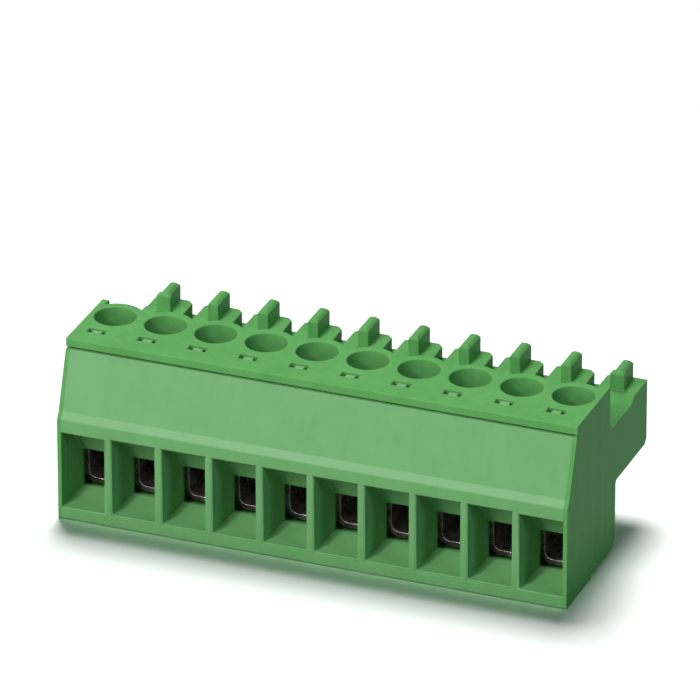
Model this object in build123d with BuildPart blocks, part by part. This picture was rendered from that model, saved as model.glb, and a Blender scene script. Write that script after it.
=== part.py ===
from build123d import *
import os

# Ten-pole pluggable terminal block, as a free plug: wires go in at the front, one clamp
# screw per pole is reached from above, and the narrow nose at the back pushes onto the
# pins of a board header.  Millimetres, +X along the row of poles, +Y from the wire side
# to the plug side, +Z up.  The origin is under the middle of the block, on its bottom.
# Depths in the side view are measured from the wire face, heights from the bottom.

# Poles
POLES = 10
PITCH = 3.81                  # distance from pole to pole, which the header sets
END_STRIP = 0.3               # housing cheeks beside the first and the last wire entry

# Wire entries in the front cover
ENTRY_WIDTH = 3.21
ENTRY_HEIGHT = 5.8
ENTRY_FLOOR = 0.95            # height of the lower edge of an entry
ENTRY_STRAIGHT = 1.3          # depth of the straight part, before the funnel narrows
FUNNEL_LENGTH = 1.3           # depth over which the funnel narrows
WINDOW_WIDTH = 2.2            # the opening at the end of the funnel
WINDOW_HEIGHT = 2.95
WINDOW_RISE = 0.5             # lower edge of the window over the floor of the entry
WINDOW_JAMB = 0.4             # straight depth of the window

# Front cover above the entries
STRIP_HEIGHT = 1.0            # upright strip over the entries
BEVEL_DEPTH = 0.35
BEVEL_HEIGHT = 0.55
LABEL_DEPTH = 1.43            # how far the sloped face leans back
LABEL_HEIGHT = 4.2
LABEL_WALL = 1.0              # wall left in front of the cored pockets
POCKET_WIDTH = 2.5
POCKET_FLOOR_WALL = 1.0       # wall between an entry and the pocket over it
POCKET_ROOF_WALL = 0.6
BEVEL_ROUND = 0.25
FRONT_EDGE_ROUND = 0.12

# Latches that hold the cover in the housing
LATCH_OFFSET = -0.32          # sideways from the middle of the pole
LATCH_WIDTH = 0.7
LATCH_THICKNESS = 0.5
LATCH_ARM = 0.5               # height of the arm behind the top of the cover
LATCH_TOP_GAP = 0.1           # the hook ends under the housing's top
LATCH_GAP = 0.1               # clearance before and behind a hook in its slot
LATCH_SIDE_GAP = 0.32         # the slot goes on at both sides of the hook
LIP_DEPTH_OVER_SEAT = 0.35    # top wall between the cover's back and the latch slot

# Housing
SEAM = 0.12                   # open joint between the cover and the lip
SEAM_GROOVE = 0.25            # depth of that joint in the cheeks
LIP_SETBACK = 0.05            # the lip stands back from the sloped face
LIP_HEIGHT = 0.65
LIP_ROUND = 0.12
TENON = 0.6                   # partition edges that stand in grooves of the cover
TENON_GAP = 0.05
PARTITION = 0.6
BODY_BACK_WALL = 0.48
REAR_CHAMFER = 0.8
NOSE_LENGTH = 6.45
NOSE_BOTTOM = 5.3
NOSE_CHAMFER = 0.3
UNDERSIDE_ROUND = 0.25
NOSE_TOP = 10.2               # top of the pads at the back of the nose
PAD_LENGTH = 2.6
PAD_SLOT_WIDTH = 0.9          # beside each pad, towards the first pole
PAD_SLOT_DEPTH = 1.0
PAD_CORNER = 0.35             # chamfer at the back of each pad
RAMP_RISE = 0.45              # from the level floor behind the towers to the pads
RAMP_LENGTH = 0.8
VALLEY_ROUND = 1.0            # at the foot of the end walls
ROOF_WALL = 0.55              # over the chambers, under the valley
FOOT_CHAMFER = 0.3            # small chamfer along the end walls' lower rear edge
FOOT_CHAMFER_START = 4.9

# Screw towers
ACCESS_RADIUS = 1.5
ACCESS_DEPTH = 1.9            # top wall that keeps the screw in
TOWER_WALL = 0.45
END_WALL_THICKNESS = 0.5
END_WALL_OVER = 0.15          # the end walls reach behind the towers

# Clamp screw
HEAD_RADIUS = 1.6
HEAD_HEIGHT = 1.5
HEAD_GAP = 0.05               # round the head and over it
SHANK_RADIUS = 1.0
DRIVE_SLOT_WIDTH = 0.5
DRIVE_SLOT_DEPTH = 0.8
DRIVE_SLOT_TURN = 53          # each screw is left at another angle than the one before

# Clamp cage, which the screw lifts
CAGE_STRIP = 0.42
CAGE_INNER_WIDTH = 2.15
CAGE_LENGTH = 5.0
CAGE_FRONT_GAP = 0.8          # between the cover's back and the cage
CAGE_FLOOR_GAP = 0.23         # under the open cage
CAGE_CORNER = 0.55            # inside bend of the strip
CAGE_NUT = 1.25               # thickened top with the thread
THREAD_GAP = 0.05
WIRE_SPACE = 2.5              # open height for the wire under the contact bar

# Contact
CONTACT_STRIP = 0.4
BAR_WIDTH = 1.8
BAR_FRONT_GAP = 0.3           # the bar's end behind the front of the cage
CONTACT_GAP = 0.05            # fit of the contact in its chamber, and under the screw
BAR_HEAD_ROOM = 0.15          # between the bar and the cage's top when open
CAGE_REAR_GAP = 0.12
LEAF_THICKNESS = 0.25
LEAF_HEIGHT = 1.7
LEAF_ROOT_HALF = 0.8          # middle of the leaf from the pole's middle, at the root
LEAF_PINCH_HALF = 0.3         # where the two leaves grip the pin
LEAF_MOUTH_HALF = 0.62
LEAF_ROOT_LENGTH = 1.5
LEAF_MOUTH_LENGTH = 0.9
LEAF_END_GAP = 0.25

# Contact chambers in the nose
NOSE_CHAMBER_WIDTH = 2.4
NOSE_CHAMBER_HEIGHT = 2.4
NOSE_FLOOR_WALL = 0.8
NOSE_REAR_WALL = 0.7
PIN_OPENING = 1.7             # square opening for the header pin
PIN_LEAD_IN = 0.3

# Coding tabs on the nose
TAB_HEIGHT = 1.4
TAB_LENGTH = 2.3
TAB_WIDTH = 0.8
TAB_HEAD_WIDTH = 1.1          # the first and the last tab have a wider head in front
TAB_HEAD_LENGTH = 0.55
TAB_BACK_GAP = 0.05
TAB_TOP_CORNER = 0.22         # chamfer round the top of a tab

# Sizes that follow from those above
LENGTH = (POLES - 1) * PITCH + ENTRY_WIDTH + 2 * END_STRIP
COVER_LENGTH = LENGTH - 2 * END_STRIP
CHAMBER_WIDTH = PITCH - PARTITION
SEAT = ENTRY_STRAIGHT + FUNNEL_LENGTH + WINDOW_JAMB
CAGE_FRONT = SEAT + CAGE_FRONT_GAP
CAGE_REAR = CAGE_FRONT + CAGE_LENGTH
SCREW_DEPTH = (CAGE_FRONT + CAGE_REAR) / 2
RISER_FRONT = CAGE_REAR + CAGE_REAR_GAP
CHAMBER_BACK = RISER_FRONT + CONTACT_STRIP + CONTACT_GAP
BODY_DEPTH = CHAMBER_BACK + BODY_BACK_WALL
DEPTH = BODY_DEPTH + NOSE_LENGTH
ENTRY_TOP = ENTRY_FLOOR + ENTRY_HEIGHT
WINDOW_BOTTOM = ENTRY_FLOOR + WINDOW_RISE
WINDOW_TOP = WINDOW_BOTTOM + WINDOW_HEIGHT
STRIP_TOP = ENTRY_TOP + STRIP_HEIGHT
BEVEL_TOP = STRIP_TOP + BEVEL_HEIGHT
LABEL_TOP = BEVEL_TOP + LABEL_HEIGHT
LABEL_TOP_DEPTH = BEVEL_DEPTH + LABEL_DEPTH
LIP_BOTTOM = LABEL_TOP + SEAM
LIP_FRONT = LABEL_TOP_DEPTH + LIP_SETBACK
TOP = LIP_BOTTOM + LIP_HEIGHT
HEAD_POCKET_RADIUS = HEAD_RADIUS + HEAD_GAP
TOWER_RADIUS = HEAD_POCKET_RADIUS + TOWER_WALL
END_WALL_BACK = SCREW_DEPTH + TOWER_RADIUS + END_WALL_OVER
ACCESS_BOTTOM = TOP - ACCESS_DEPTH
NOSE_FLOOR = NOSE_BOTTOM + NOSE_FLOOR_WALL
NOSE_CHAMBER_TOP = NOSE_FLOOR + NOSE_CHAMBER_HEIGHT
NOSE_CHAMBER_BACK = DEPTH - NOSE_REAR_WALL
PAD_FRONT = DEPTH - PAD_LENGTH
RAMP_FOOT = PAD_FRONT - RAMP_LENGTH
PAD_OFFSET = PAD_SLOT_WIDTH / 2
TAB_BACK = DEPTH - TAB_BACK_GAP
TAB_FRONT = TAB_BACK - TAB_LENGTH
VALLEY = NOSE_TOP - RAMP_RISE
CHAMBER_TOP = VALLEY - ROOF_WALL
PIN_HEIGHT = NOSE_FLOOR + CONTACT_GAP + CONTACT_STRIP + LEAF_HEIGHT / 2
LATCH_SLOT_FRONT = SEAT + LIP_DEPTH_OVER_SEAT
LATCH_SLOT_BACK = LATCH_SLOT_FRONT + LATCH_THICKNESS + 2 * LATCH_GAP

CAGE_BOTTOM = ENTRY_FLOOR + CAGE_FLOOR_GAP
CAGE_WIDTH = CAGE_INNER_WIDTH + 2 * CAGE_STRIP
BAR_BOTTOM = CAGE_BOTTOM + CAGE_STRIP + WIRE_SPACE
BAR_TOP = BAR_BOTTOM + CONTACT_STRIP
CAGE_OPENING_TOP = BAR_TOP + BAR_HEAD_ROOM
CAGE_TOP = CAGE_OPENING_TOP + CAGE_NUT
HEAD_TOP = ACCESS_BOTTOM - HEAD_GAP
HEAD_BOTTOM = HEAD_TOP - HEAD_HEIGHT
TIP = BAR_TOP + CONTACT_GAP

FRONT = -DEPTH / 2
NEAR = 0.01                   # tolerance for picking edges by their place


def pole_x(pole):
    """Middle of a pole along the row, poles counted from 1."""
    return (pole - (POLES + 1) / 2) * PITCH


def side_view(x=0.0):
    """Plane across the row at x, drawn as (depth, height)."""
    return Plane(origin=(x, FRONT, 0), x_dir=(0, 1, 0), z_dir=(1, 0, 0))


def front_view(depth):
    """Plane facing the wire side at a depth, drawn as (x, height)."""
    return Plane(origin=(0, FRONT + depth, 0), x_dir=(1, 0, 0), z_dir=(0, -1, 0))


def level(height):
    """Horizontal plane at a height, drawn as (x, depth)."""
    return Plane(origin=(0, FRONT, height))


def span(low, high):
    """Middle of two values."""
    return (low + high) / 2


# Housing: end walls, screw towers, chambers, nose and coding tabs in one moulding

# What is taken away behind the towers, so that their backs follow the screws
with BuildPart() as tower_backs:
    with BuildSketch(level(VALLEY)):
        with Locations((0, span(SCREW_DEPTH, RAMP_FOOT))):
            Rectangle(LENGTH - 2 * END_WALL_THICKNESS, RAMP_FOOT - SCREW_DEPTH)
        with Locations((0, SCREW_DEPTH)):
            with GridLocations(PITCH, 0, POLES, 1):
                Circle(TOWER_RADIUS, mode=Mode.SUBTRACT)
    extrude(amount=TOP - VALLEY)

# Side view of the front cover, which the housing's cheeks repeat at both ends
with BuildSketch(side_view()) as cover_side:
    with BuildLine():
        Polyline(
            (0, 0),
            (0, STRIP_TOP),
            (BEVEL_DEPTH, BEVEL_TOP),
            (LABEL_TOP_DEPTH, LABEL_TOP),
            (SEAT, LABEL_TOP),
            (SEAT, 0),
            close=True,
        )
    make_face()
    fillet(cover_side.vertices().group_by(Axis.Y)[1:3], BEVEL_ROUND)
    fillet(cover_side.vertices().group_by(Axis.Y)[0].sort_by(Axis.X)[0], FRONT_EDGE_ROUND)

# Cheeks that close the cover and the outer wire entries at both ends
with BuildPart() as cheeks:
    extrude(cover_side.sketch, amount=LENGTH / 2, both=True)
    with BuildSketch(side_view()):
        with Locations((span(LABEL_TOP_DEPTH + SEAM_GROOVE, SEAT), span(LABEL_TOP, LIP_BOTTOM))):
            Rectangle(SEAT - LABEL_TOP_DEPTH - SEAM_GROOVE, SEAM)
    extrude(amount=LENGTH / 2, both=True)
    with BuildSketch(front_view(SEAT)):
        with Locations((0, LIP_BOTTOM / 2)):
            Rectangle(COVER_LENGTH, LIP_BOTTOM)
    extrude(amount=SEAT, mode=Mode.SUBTRACT)

# Coding tabs for the nose, the first and the last one with a wider head
with BuildPart() as tab_heads:
    with BuildSketch(level(NOSE_TOP)):
        with Locations((PAD_OFFSET, TAB_FRONT + TAB_HEAD_LENGTH / 2)):
            with GridLocations((POLES - 1) * PITCH, 0, 2, 1):
                Rectangle(TAB_HEAD_WIDTH, TAB_HEAD_LENGTH)
    extrude(amount=TAB_HEIGHT)
    chamfer(tab_heads.faces().group_by(Axis.Z)[-1].edges(), TAB_TOP_CORNER)

with BuildPart() as tabs:
    with BuildSketch(level(NOSE_TOP)):
        with Locations((PAD_OFFSET, span(TAB_FRONT, TAB_BACK))):
            with GridLocations(PITCH, 0, POLES, 1):
                Rectangle(TAB_WIDTH, TAB_LENGTH)
    extrude(amount=TAB_HEIGHT)
    chamfer(tabs.faces().group_by(Axis.Z)[-1].edges(), TAB_TOP_CORNER)
    add(tab_heads.part)

with BuildPart() as housing:
    with BuildSketch(side_view()) as housing_side:
        with BuildLine():
            Polyline(
                (SEAT, 0),
                (BODY_DEPTH - REAR_CHAMFER, 0),
                (BODY_DEPTH, REAR_CHAMFER),
                (BODY_DEPTH, NOSE_BOTTOM),
                (DEPTH - NOSE_CHAMFER, NOSE_BOTTOM),
                (DEPTH, NOSE_BOTTOM + NOSE_CHAMFER),
                (DEPTH, NOSE_TOP),
                (PAD_FRONT, NOSE_TOP),
                (RAMP_FOOT, VALLEY),
                (END_WALL_BACK, VALLEY),
                (END_WALL_BACK, TOP),
                (LIP_FRONT, TOP),
                (LIP_FRONT, LIP_BOTTOM),
                (SEAT, LIP_BOTTOM),
                close=True,
            )
        make_face()
    extrude(amount=LENGTH / 2, both=True)

    # Rounds that run the whole length
    rows = housing.edges().filter_by(Axis.X)
    fillet(rows.group_by(Axis.Z)[-1].sort_by(Axis.Y)[0], LIP_ROUND)
    underside_corner = Vector(0, FRONT + BODY_DEPTH, NOSE_BOTTOM)
    fillet(rows.sort_by(lambda edge: (edge.center() - underside_corner).length)[0], UNDERSIDE_ROUND)
    valley_corner = Vector(0, FRONT + END_WALL_BACK, VALLEY)
    fillet(rows.sort_by(lambda edge: (edge.center() - valley_corner).length)[0], VALLEY_ROUND)

    # Chambers for cage and contact, open to the cover
    with BuildSketch(front_view(CHAMBER_BACK)):
        with Locations((0, span(ENTRY_FLOOR, CHAMBER_TOP))):
            with GridLocations(PITCH, 0, POLES, 1):
                Rectangle(CHAMBER_WIDTH, CHAMBER_TOP - ENTRY_FLOOR)
    extrude(amount=CHAMBER_BACK - SEAT, mode=Mode.SUBTRACT)

    # Contact chambers in the nose
    with BuildSketch(front_view(NOSE_CHAMBER_BACK)):
        with Locations((0, span(NOSE_FLOOR, NOSE_CHAMBER_TOP))):
            with GridLocations(PITCH, 0, POLES, 1):
                Rectangle(NOSE_CHAMBER_WIDTH, NOSE_CHAMBER_HEIGHT)
    extrude(amount=NOSE_CHAMBER_BACK - CHAMBER_BACK, mode=Mode.SUBTRACT)

    # Openings for the header pins, with a lead-in at the back face
    with BuildSketch(front_view(DEPTH)):
        with Locations((0, PIN_HEIGHT)):
            with GridLocations(PITCH, 0, POLES, 1):
                Rectangle(PIN_OPENING, PIN_OPENING)
    extrude(amount=NOSE_REAR_WALL, mode=Mode.SUBTRACT)
    back_face = housing.faces().filter_by(Axis.Y).sort_by(Axis.Y)[-1]
    chamfer(back_face.inner_wires().edges(), PIN_LEAD_IN)

    # Head pockets and screwdriver holes
    with BuildSketch(level(CHAMBER_TOP)):
        with Locations((0, SCREW_DEPTH)):
            with GridLocations(PITCH, 0, POLES, 1):
                Circle(HEAD_POCKET_RADIUS)
    extrude(amount=ACCESS_BOTTOM - CHAMBER_TOP, mode=Mode.SUBTRACT)
    with BuildSketch(level(ACCESS_BOTTOM)):
        with Locations((0, SCREW_DEPTH)):
            with GridLocations(PITCH, 0, POLES, 1):
                Circle(ACCESS_RADIUS)
    extrude(amount=ACCESS_DEPTH, mode=Mode.SUBTRACT)

    # Backs of the towers
    add(tower_backs.part, mode=Mode.SUBTRACT)

    # Slots beside the pads, and chamfered corners at the back of each pad
    with BuildSketch(level(NOSE_TOP)):
        with Locations((PAD_OFFSET - PITCH / 2, span(RAMP_FOOT, DEPTH))):
            with GridLocations(PITCH, 0, POLES, 1):
                Rectangle(PAD_SLOT_WIDTH, DEPTH - RAMP_FOOT)
    extrude(amount=-PAD_SLOT_DEPTH, mode=Mode.SUBTRACT)
    pad_corners = (
        housing.edges()
        .filter_by(Axis.Z)
        .filter_by_position(Axis.Y, FRONT + DEPTH - NEAR, FRONT + DEPTH + NEAR)
        .filter_by_position(Axis.Z, NOSE_TOP - PAD_SLOT_DEPTH, NOSE_TOP)
        .filter_by_position(Axis.X, NEAR - LENGTH / 2, LENGTH / 2 - NEAR)
    )
    chamfer(pad_corners, PAD_CORNER)

    # Coding tabs
    add(tabs.part)

    # Slots in which the cover's hooks catch
    with BuildSketch(level(TOP)):
        with Locations((LATCH_OFFSET, span(LATCH_SLOT_FRONT, LATCH_SLOT_BACK))):
            with GridLocations(PITCH, 0, POLES, 1):
                Rectangle(LATCH_WIDTH + 2 * LATCH_SIDE_GAP, LATCH_SLOT_BACK - LATCH_SLOT_FRONT)
    extrude(amount=LABEL_TOP - LATCH_ARM - LATCH_GAP - TOP, mode=Mode.SUBTRACT)
    with BuildSketch(level(LIP_BOTTOM)):
        with Locations((LATCH_OFFSET, span(SEAT, LATCH_SLOT_FRONT))):
            with GridLocations(PITCH, 0, POLES, 1):
                Rectangle(LATCH_WIDTH + 2 * LATCH_GAP, LATCH_SLOT_FRONT - SEAT)
    extrude(amount=LABEL_TOP - LATCH_ARM - LATCH_GAP - LIP_BOTTOM, mode=Mode.SUBTRACT)

    # Cheeks
    add(cheeks.part)

    # Front edges of the partitions, which stand in grooves of the cover
    with BuildSketch(front_view(SEAT)):
        with Locations((0, span(ENTRY_FLOOR, LIP_BOTTOM))):
            with GridLocations(PITCH, 0, POLES - 1, 1):
                Rectangle(PARTITION, LIP_BOTTOM - ENTRY_FLOOR)
    extrude(amount=TENON)

    # Small chamfers along the lower rear edges of the end walls
    for side in (-1, 1):
        with BuildSketch(front_view(BODY_DEPTH)):
            with BuildLine():
                Polyline(
                    (side * LENGTH / 2, 0),
                    (side * (LENGTH / 2 - FOOT_CHAMFER), 0),
                    (side * LENGTH / 2, FOOT_CHAMFER),
                    close=True,
                )
            make_face()
        extrude(amount=BODY_DEPTH - FOOT_CHAMFER_START, mode=Mode.SUBTRACT)

housing.part.label = "housing"
export_step(housing.part, "parts/housing.step")


# What is taken out of the cover as funnels: they narrow from entry to window, seen from
# the side and from above
funnel_back = ENTRY_STRAIGHT + FUNNEL_LENGTH
with BuildPart() as funnels:
    with BuildSketch(side_view()):
        with BuildLine():
            Polyline(
                (ENTRY_STRAIGHT, ENTRY_FLOOR),
                (ENTRY_STRAIGHT, ENTRY_TOP),
                (funnel_back, WINDOW_TOP),
                (funnel_back, WINDOW_BOTTOM),
                close=True,
            )
        make_face()
    extrude(amount=LENGTH / 2, both=True)
    with BuildSketch(level(ENTRY_FLOOR)):
        for pole in range(1, POLES + 1):
            with BuildLine():
                Polyline(
                    (pole_x(pole) - ENTRY_WIDTH / 2, ENTRY_STRAIGHT),
                    (pole_x(pole) + ENTRY_WIDTH / 2, ENTRY_STRAIGHT),
                    (pole_x(pole) + WINDOW_WIDTH / 2, funnel_back),
                    (pole_x(pole) - WINDOW_WIDTH / 2, funnel_back),
                    close=True,
                )
            make_face()
    extrude(amount=ENTRY_HEIGHT, mode=Mode.INTERSECT)

# Front cover: sloped label face above, wire funnels below
with BuildPart() as front_cover:
    extrude(cover_side.sketch, amount=COVER_LENGTH / 2, both=True)

    # Straight part of the entries, then the window
    with BuildSketch(front_view(ENTRY_STRAIGHT)):
        with Locations((0, span(ENTRY_FLOOR, ENTRY_TOP))):
            with GridLocations(PITCH, 0, POLES, 1):
                Rectangle(ENTRY_WIDTH, ENTRY_HEIGHT)
    extrude(amount=ENTRY_STRAIGHT, mode=Mode.SUBTRACT)
    with BuildSketch(front_view(SEAT)):
        with Locations((0, span(WINDOW_BOTTOM, WINDOW_TOP))):
            with GridLocations(PITCH, 0, POLES, 1):
                Rectangle(WINDOW_WIDTH, WINDOW_HEIGHT)
    extrude(amount=WINDOW_JAMB, mode=Mode.SUBTRACT)

    # Funnels between them
    add(funnels.part, mode=Mode.SUBTRACT)

    # Pockets that core out the thick wall behind the label face
    pocket_bottom = ENTRY_TOP + POCKET_FLOOR_WALL
    pocket_top = LABEL_TOP - POCKET_ROOF_WALL
    pocket_top_depth = LABEL_TOP_DEPTH + LABEL_WALL - POCKET_ROOF_WALL * LABEL_DEPTH / LABEL_HEIGHT
    for pole in range(1, POLES + 1):
        with BuildSketch(side_view(pole_x(pole))):
            with BuildLine():
                Polyline(
                    (SEAT, pocket_bottom),
                    (LABEL_WALL + BEVEL_DEPTH / 2, pocket_bottom),
                    (BEVEL_DEPTH + LABEL_WALL, BEVEL_TOP),
                    (pocket_top_depth, pocket_top),
                    (SEAT, pocket_top),
                    close=True,
                )
            make_face()
        extrude(amount=POCKET_WIDTH / 2, both=True, mode=Mode.SUBTRACT)

    # Grooves for the front edges of the partitions
    with BuildSketch(front_view(SEAT)):
        with Locations((0, span(ENTRY_FLOOR - TENON_GAP, LABEL_TOP))):
            with GridLocations(PITCH, 0, POLES - 1, 1):
                Rectangle(PARTITION + 2 * TENON_GAP, LABEL_TOP - ENTRY_FLOOR + TENON_GAP)
    extrude(amount=TENON + TENON_GAP, mode=Mode.SUBTRACT)

    # Latch arms behind the top edge, each with its hook
    hook_front = LATCH_SLOT_FRONT + LATCH_GAP
    hook_back = hook_front + LATCH_THICKNESS
    with BuildSketch(level(LABEL_TOP)):
        with Locations((LATCH_OFFSET, span(SEAT, hook_back))):
            with GridLocations(PITCH, 0, POLES, 1):
                Rectangle(LATCH_WIDTH, hook_back - SEAT)
    extrude(amount=-LATCH_ARM)
    with BuildSketch(level(LABEL_TOP)):
        with Locations((LATCH_OFFSET, span(hook_front, hook_back))):
            with GridLocations(PITCH, 0, POLES, 1):
                Rectangle(LATCH_WIDTH, LATCH_THICKNESS)
    extrude(amount=TOP - LATCH_TOP_GAP - LABEL_TOP)

front_cover.part.label = "front_cover"
export_step(front_cover.part, "parts/front_cover.step")


# Clamp screws: slotted heads kept under the top wall, tips on the contact bars
for pole in range(1, POLES + 1):
    screw_plane = Plane(
        origin=(pole_x(pole), FRONT + SCREW_DEPTH, 0), x_dir=(1, 0, 0), z_dir=(0, -1, 0)
    )
    with BuildPart() as clamp_screw:
        with BuildSketch(screw_plane) as half_section:
            with BuildLine():
                Polyline(
                    (0, TIP),
                    (SHANK_RADIUS, TIP),
                    (SHANK_RADIUS, HEAD_BOTTOM),
                    (HEAD_RADIUS, HEAD_BOTTOM),
                    (HEAD_RADIUS, HEAD_TOP),
                    (0, HEAD_TOP),
                    close=True,
                )
            make_face()
        revolve(axis=Axis((pole_x(pole), FRONT + SCREW_DEPTH, 0), (0, 0, 1)))
        with BuildSketch(level(HEAD_TOP)):
            with Locations((pole_x(pole), SCREW_DEPTH)):
                Rectangle(2 * HEAD_RADIUS, DRIVE_SLOT_WIDTH, rotation=pole * DRIVE_SLOT_TURN)
        extrude(amount=-DRIVE_SLOT_DEPTH, mode=Mode.SUBTRACT)
    clamp_screw.part.label = f"clamp_screw_{pole:02d}"
    export_step(clamp_screw.part, f"parts/clamp_screw_{pole:02d}.step")


# Clamp cages: a strip bent into a box, with a thick threaded top
for pole in range(1, POLES + 1):
    with BuildPart() as clamp_cage:
        with BuildSketch(front_view(CAGE_REAR)) as cage_section:
            with Locations((pole_x(pole), span(CAGE_BOTTOM, CAGE_TOP))):
                Rectangle(CAGE_WIDTH, CAGE_TOP - CAGE_BOTTOM)
            fillet(cage_section.vertices().group_by(Axis.Y)[0], CAGE_CORNER + CAGE_STRIP)
        extrude(amount=CAGE_LENGTH)
        with BuildSketch(front_view(CAGE_REAR)) as cage_opening:
            with Locations((pole_x(pole), span(CAGE_BOTTOM + CAGE_STRIP, CAGE_OPENING_TOP))):
                Rectangle(CAGE_INNER_WIDTH, CAGE_OPENING_TOP - CAGE_BOTTOM - CAGE_STRIP)
            fillet(cage_opening.vertices().group_by(Axis.Y)[0], CAGE_CORNER)
        extrude(amount=CAGE_LENGTH, mode=Mode.SUBTRACT)
        with BuildSketch(level(CAGE_OPENING_TOP)):
            with Locations((pole_x(pole), SCREW_DEPTH)):
                Circle(SHANK_RADIUS + THREAD_GAP)
        extrude(amount=CAGE_NUT, mode=Mode.SUBTRACT)
    clamp_cage.part.label = f"clamp_cage_{pole:02d}"
    export_step(clamp_cage.part, f"parts/clamp_cage_{pole:02d}.step")


# Contacts: a bar under the screw, a riser, and two spring leaves in the nose
leaf_floor = NOSE_FLOOR + CONTACT_GAP
leaf_start = RISER_FRONT + CONTACT_STRIP
leaf_end = NOSE_CHAMBER_BACK - LEAF_END_GAP
for pole in range(1, POLES + 1):
    with BuildPart() as contact:
        with BuildSketch(side_view(pole_x(pole))):
            with BuildLine():
                Polyline(
                    (CAGE_FRONT + BAR_FRONT_GAP, BAR_BOTTOM),
                    (RISER_FRONT + CONTACT_STRIP, BAR_BOTTOM),
                    (RISER_FRONT + CONTACT_STRIP, leaf_floor),
                    (leaf_start + LEAF_ROOT_LENGTH, leaf_floor),
                    (leaf_start + LEAF_ROOT_LENGTH, leaf_floor + CONTACT_STRIP),
                    (RISER_FRONT, leaf_floor + CONTACT_STRIP),
                    (RISER_FRONT, BAR_TOP),
                    (CAGE_FRONT + BAR_FRONT_GAP, BAR_TOP),
                    close=True,
                )
            make_face()
        extrude(amount=BAR_WIDTH / 2, both=True)
        for side in (-1, 1):
            leaf_middle = [
                (pole_x(pole) + side * LEAF_ROOT_HALF, leaf_start),
                (pole_x(pole) + side * LEAF_ROOT_HALF, leaf_start + LEAF_ROOT_LENGTH),
                (pole_x(pole) + side * LEAF_PINCH_HALF, leaf_end - LEAF_MOUTH_LENGTH),
                (pole_x(pole) + side * LEAF_MOUTH_HALF, leaf_end),
            ]
            outer = [(x + side * LEAF_THICKNESS / 2, depth) for x, depth in leaf_middle]
            inner = [(x - side * LEAF_THICKNESS / 2, depth) for x, depth in leaf_middle]
            with BuildSketch(level(leaf_floor)):
                with BuildLine():
                    Polyline(*outer, *reversed(inner), close=True)
                make_face()
            extrude(amount=CONTACT_STRIP + LEAF_HEIGHT)
    contact.part.label = f"contact_{pole:02d}"
    export_step(contact.part, f"parts/contact_{pole:02d}.step")
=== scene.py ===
"""Looks of a ten-pole pluggable terminal block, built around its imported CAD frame.

The mouldings and the clamp cages keep the shapes of their CAD solids and get rounded edges.
The clamp screws, with thread and flared slot, and the spring contacts are worked out as
surfaces with numpy and stand for their plain CAD solids.
"""

import logging
import math
from dataclasses import dataclass, field
from enum import Enum

import bmesh
import bpy
import numpy as np
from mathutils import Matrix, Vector

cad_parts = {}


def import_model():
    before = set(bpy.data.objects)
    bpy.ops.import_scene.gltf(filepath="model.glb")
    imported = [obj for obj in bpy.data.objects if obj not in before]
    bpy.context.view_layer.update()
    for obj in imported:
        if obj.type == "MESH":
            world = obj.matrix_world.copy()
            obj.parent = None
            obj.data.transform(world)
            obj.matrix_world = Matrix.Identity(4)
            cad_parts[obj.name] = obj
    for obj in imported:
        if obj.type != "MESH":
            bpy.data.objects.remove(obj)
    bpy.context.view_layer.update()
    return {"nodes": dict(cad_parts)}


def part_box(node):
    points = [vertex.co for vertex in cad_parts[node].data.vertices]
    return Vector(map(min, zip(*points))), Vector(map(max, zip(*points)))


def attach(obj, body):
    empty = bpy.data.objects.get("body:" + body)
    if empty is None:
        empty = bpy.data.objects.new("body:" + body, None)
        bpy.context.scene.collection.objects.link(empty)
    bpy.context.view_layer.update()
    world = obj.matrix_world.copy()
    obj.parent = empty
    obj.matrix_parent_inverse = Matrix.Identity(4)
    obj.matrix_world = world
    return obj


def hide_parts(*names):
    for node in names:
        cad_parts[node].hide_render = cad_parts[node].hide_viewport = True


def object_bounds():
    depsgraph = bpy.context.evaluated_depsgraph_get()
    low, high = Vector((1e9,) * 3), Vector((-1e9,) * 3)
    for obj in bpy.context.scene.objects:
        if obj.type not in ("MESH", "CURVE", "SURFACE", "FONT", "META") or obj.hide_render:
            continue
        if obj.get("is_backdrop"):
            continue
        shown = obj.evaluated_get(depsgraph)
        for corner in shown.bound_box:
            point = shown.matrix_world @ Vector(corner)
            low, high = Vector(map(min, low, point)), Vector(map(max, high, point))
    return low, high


log = logging.getLogger("terminal_block")

MM = 0.001
POLES = 10
TOUCH = 0.01 * MM  # edges this near to a line count as lying on it
SMOOTH_LIMIT = math.radians(35)  # widest angle that is shaded smooth
FAVOUR_LARGE_FACES = 100  # strongest preference that the shading can have
NOISE_ROUGHNESS = 0.55
USUAL_LOW, USUAL_HIGH = 0.35, 0.65  # range in which most of a noise lies
DRAWN_OUT = 0.05  # scale along streaks and rolled lines
CLOUD_SHARE, STREAK_SHARE, GRAIN_SHARE = 0.45, 0.35, 0.2  # parts of the moulded tone

Colour = tuple[float, float, float]
OpaqueColour = tuple[float, float, float, float]
Nodes = dict[str, bpy.types.Object]
Sockets = dict[str, bpy.types.NodeSocket]


class Slot(Enum):
    """Material slots of the record."""

    HOUSING = "housing_plastic"
    COVER = "cover_plastic"
    SCREW = "screw_steel"
    CAGE = "cage_metal"
    CONTACT = "contact_metal"


class Skin(Enum):
    """Node groups with the fine surface of a kind of material."""

    MOULDED = "moulded_skin"
    PLATED = "plated_skin"


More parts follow.
